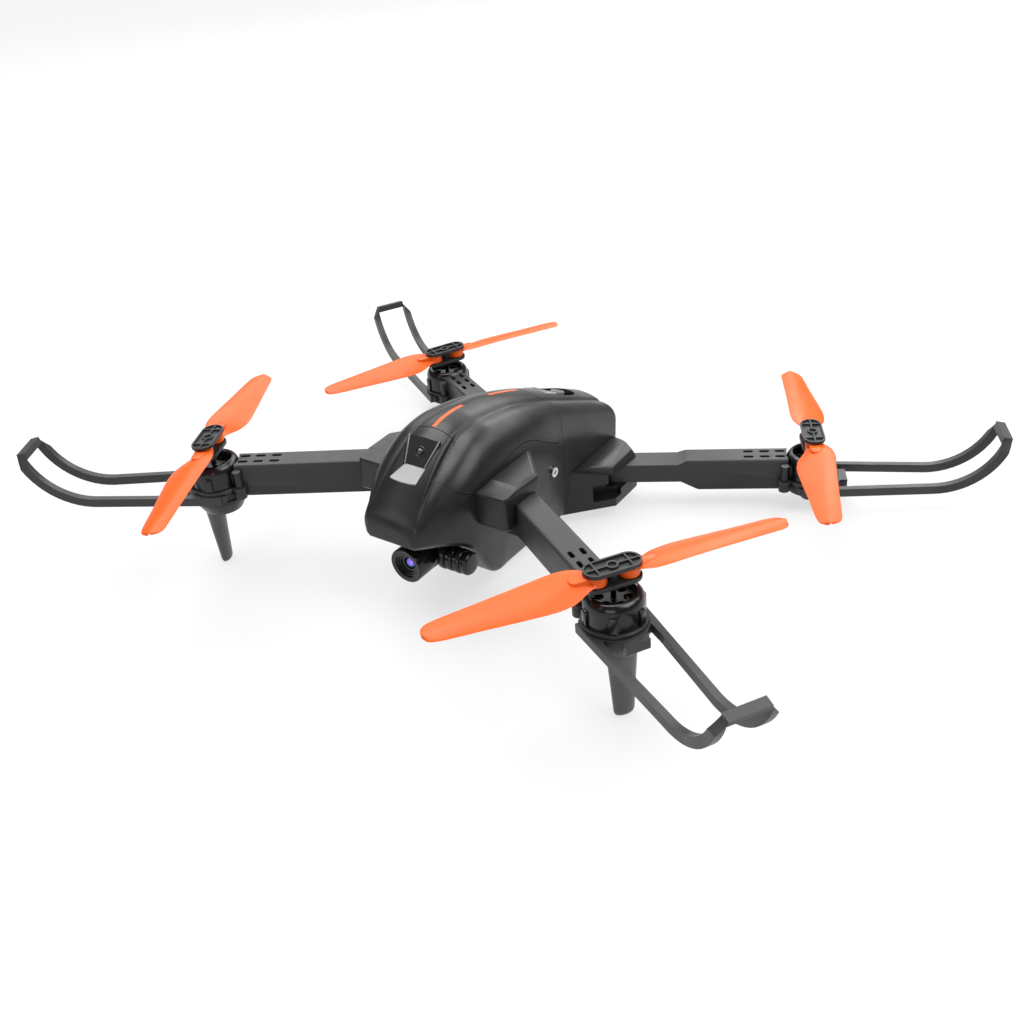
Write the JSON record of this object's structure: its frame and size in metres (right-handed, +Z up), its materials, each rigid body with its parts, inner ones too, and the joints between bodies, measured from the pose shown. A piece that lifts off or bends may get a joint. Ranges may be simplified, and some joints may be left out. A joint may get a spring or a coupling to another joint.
{
  "type": "camera quadcopter",
  "caption": "Folding camera quadcopter with a beetle-shaped hull, hinged arms, pivoting propeller blades, looped propeller guards, tilting camera and slide-out battery.",
  "frame": {"origin": "on the ground under the middle of the arms-out craft, at the height of the leg tips", "axes": "nose towards -Y, tail towards +Y, +Z up, the left-hand rotors at +X"},
  "size_m": [0.365, 0.292, 0.0779],
  "materials": {
    "shell": "satin dark grey moulding",
    "guard": "satin dark grey, slightly flexible",
    "hub": "fine satin mid grey",
    "trim": "glossy black",
    "key": "satin light grey",
    "blade": "satin orange, thin edges slightly translucent",
    "steel": "bright machined",
    "bell": "black coated, satin",
    "winding": "lacquered copper wire",
    "cell": "pouch foil",
    "board": "green circuit board",
    "lens": "coated lens, blue and violet"
  },
  "bodies": {
    "hull": {"lower_hull": "shell", "upper_canopy": "shell", "belly_plate": "trim", "nose_sensor_panel": "trim", "nose_sensor_lens": "lens", "main_board": "board", "flow_sensor": "trim", "hull_screws": "steel", "hinge_pins": "steel", "camera_bracket": "trim", "tilt_motor": "trim"},
    "battery": {"battery_case": "shell", "battery_cells": "cell"},
    "latch": {"battery_latch": "key"},
    "power_button": {"power_button": "key"},
    "camera": {"camera_housing": "trim", "camera_lens_barrel": "trim", "camera_lens_glass": "lens"},
    "arm_front_left_group": {"arm_front_left": "shell", "pod_cap_front_left": "trim", "pod_cover_front_left": "trim", "leg_left": "trim", "guard_front_left": "guard", "motor_stator_front_left": "winding"},
    "rotor_front_left": {"motor_bell_front_left": "bell", "hub_base_front_left": "hub", "hub_cap_front_left": "hub"},
    "arm_front_right_group": {"arm_front_right": "shell", "pod_cap_front_right": "trim", "pod_cover_front_right": "trim", "leg_right": "trim", "guard_front_right": "guard", "motor_stator_front_right": "winding"},
    "rotor_front_right": {"motor_bell_front_right": "bell", "hub_base_front_right": "hub", "hub_cap_front_right": "hub"},
    "arm_rear_left_group": {"arm_rear_left": "shell", "pod_cap_rear_left": "trim", "pod_cover_rear_left": "trim", "guard_rear_left": "guard", "motor_stator_rear_left": "winding"},
    "rotor_rear_left": {"motor_bell_rear_left": "bell", "hub_base_rear_left": "hub", "hub_cap_rear_left": "hub"},
    "arm_rear_right_group": {"arm_rear_right": "shell", "pod_cap_rear_right": "trim", "pod_cover_rear_right": "trim", "guard_rear_right": "guard", "motor_stator_rear_right": "winding"},
    "rotor_rear_right": {"motor_bell_rear_right": "bell", "hub_base_rear_right": "hub", "hub_cap_rear_right": "hub"},
    "blade_front_left_a_group": {"blade_front_left_a": "blade"},
    "blade_front_left_b_group": {"blade_front_left_b": "blade"},
    "blade_front_right_a_group": {"blade_front_right_a": "blade"},
    "blade_front_right_b_group": {"blade_front_right_b": "blade"},
    "blade_rear_left_a_group": {"blade_rear_left_a": "blade"},
    "blade_rear_left_b_group": {"blade_rear_left_b": "blade"},
    "blade_rear_right_a_group": {"blade_rear_right_a": "blade"},
    "blade_rear_right_b_group": {"blade_rear_right_b": "blade"}
  },
  "joints": [
    {"name": "fold_front_left", "type": "hinge", "parent": "hull", "child": "arm_front_left_group", "pos_m": [0.033, -0.04231, 0.04], "axis": [0, 0, 1], "range_deg": [0, 105]},
    {"name": "fold_front_right", "type": "hinge", "parent": "hull", "child": "arm_front_right_group", "pos_m": [-0.033, -0.04231, 0.04], "axis": [0, 0, -1], "range_deg": [0, 105]},
    {"name": "fold_rear_left", "type": "hinge", "parent": "hull", "child": "arm_rear_left_group", "pos_m": [0.027, 0.04128, 0.017], "axis": [0, 0, 1], "range_deg": [-75, 0]},
    {"name": "fold_rear_right", "type": "hinge", "parent": "hull", "child": "arm_rear_right_group", "pos_m": [-0.027, 0.04128, 0.017], "axis": [0, 0, -1], "range_deg": [-75, 0]},
    {"name": "spin_front_left", "type": "hinge", "parent": "arm_front_left_group", "child": "rotor_front_left", "pos_m": [0.10165, -0.0834, 0.0432], "axis": [0, 0, 1], "continuous": true},
    {"name": "spin_front_right", "type": "hinge", "parent": "arm_front_right_group", "child": "rotor_front_right", "pos_m": [-0.10165, -0.0834, 0.0432], "axis": [0, 0, 1], "continuous": true},
    {"name": "spin_rear_left", "type": "hinge", "parent": "arm_rear_left_group", "child": "rotor_rear_left", "pos_m": [0.1049, 0.0834, 0.015], "axis": [0, 0, 1], "continuous": true},
    {"name": "spin_rear_right", "type": "hinge", "parent": "arm_rear_right_group", "child": "rotor_rear_right", "pos_m": [-0.1049, 0.0834, 0.015], "axis": [0, 0, 1], "continuous": true},
    {"name": "pivot_front_left_a", "type": "hinge", "parent": "rotor_front_left", "child": "blade_front_left_a_group", "pos_m": [0.0982, -0.08879, 0.0594], "axis": [0, 0, -1], "range_deg": [-80, 80]},
    {"name": "pivot_front_left_b", "type": "hinge", "parent": "rotor_front_left", "child": "blade_front_left_b_group", "pos_m": [0.1051, -0.07801, 0.0594], "axis": [0, 0, -1], "range_deg": [-80, 80]},
    {"name": "pivot_front_right_a", "type": "hinge", "parent": "rotor_front_right", "child": "blade_front_right_a_group", "pos_m": [-0.09872, -0.08909, 0.0594], "axis": [0, 0, 1], "range_deg": [-80, 80]},
    {"name": "pivot_front_right_b", "type": "hinge", "parent": "rotor_front_right", "child": "blade_front_right_b_group", "pos_m": [-0.10458, -0.07771, 0.0594], "axis": [0, 0, 1], "range_deg": [-80, 80]},
    {"name": "pivot_rear_left_a", "type": "hinge", "parent": "rotor_rear_left", "child": "blade_rear_left_a_group", "pos_m": [0.10816, 0.07789, 0.0312], "axis": [0, 0, 1], "range_deg": [-80, 80]},
    {"name": "pivot_rear_left_b", "type": "hinge", "parent": "rotor_rear_left", "child": "blade_rear_left_b_group", "pos_m": [0.10164, 0.08891, 0.0312], "axis": [0, 0, 1], "range_deg": [-80, 80]},
    {"name": "pivot_rear_right_a", "type": "hinge", "parent": "rotor_rear_right", "child": "blade_rear_right_a_group", "pos_m": [-0.10778, 0.07768, 0.0312], "axis": [0, 0, -1], "range_deg": [-80, 80]},
    {"name": "pivot_rear_right_b", "type": "hinge", "parent": "rotor_rear_right", "child": "blade_rear_right_b_group", "pos_m": [-0.10202, 0.08912, 0.0312], "axis": [0, 0, -1], "range_deg": [-80, 80]},
    {"name": "camera_tilt", "type": "hinge", "parent": "hull", "child": "camera", "pos_m": [0, -0.0637, 0.0248], "axis": [1, 0, 0], "range_deg": [0, 90]},
    {"name": "battery_slide", "type": "slide", "parent": "hull", "child": "battery", "axis": [0, 1, 0], "range_m": [0, 0.045]},
    {"name": "latch_slide", "type": "slide", "parent": "battery", "child": "latch", "axis": [0, 0.9184, -0.3955], "range_m": [0, 0.002], "stiffness_N_per_m": 400, "springref_m": -0.001},
    {"name": "power_press", "type": "slide", "parent": "battery", "child": "power_button", "axis": [0, -0.3955, -0.9184], "range_m": [0, 0.0008], "stiffness_N_per_m": 900, "springref_m": -0.0005}
  ]
}
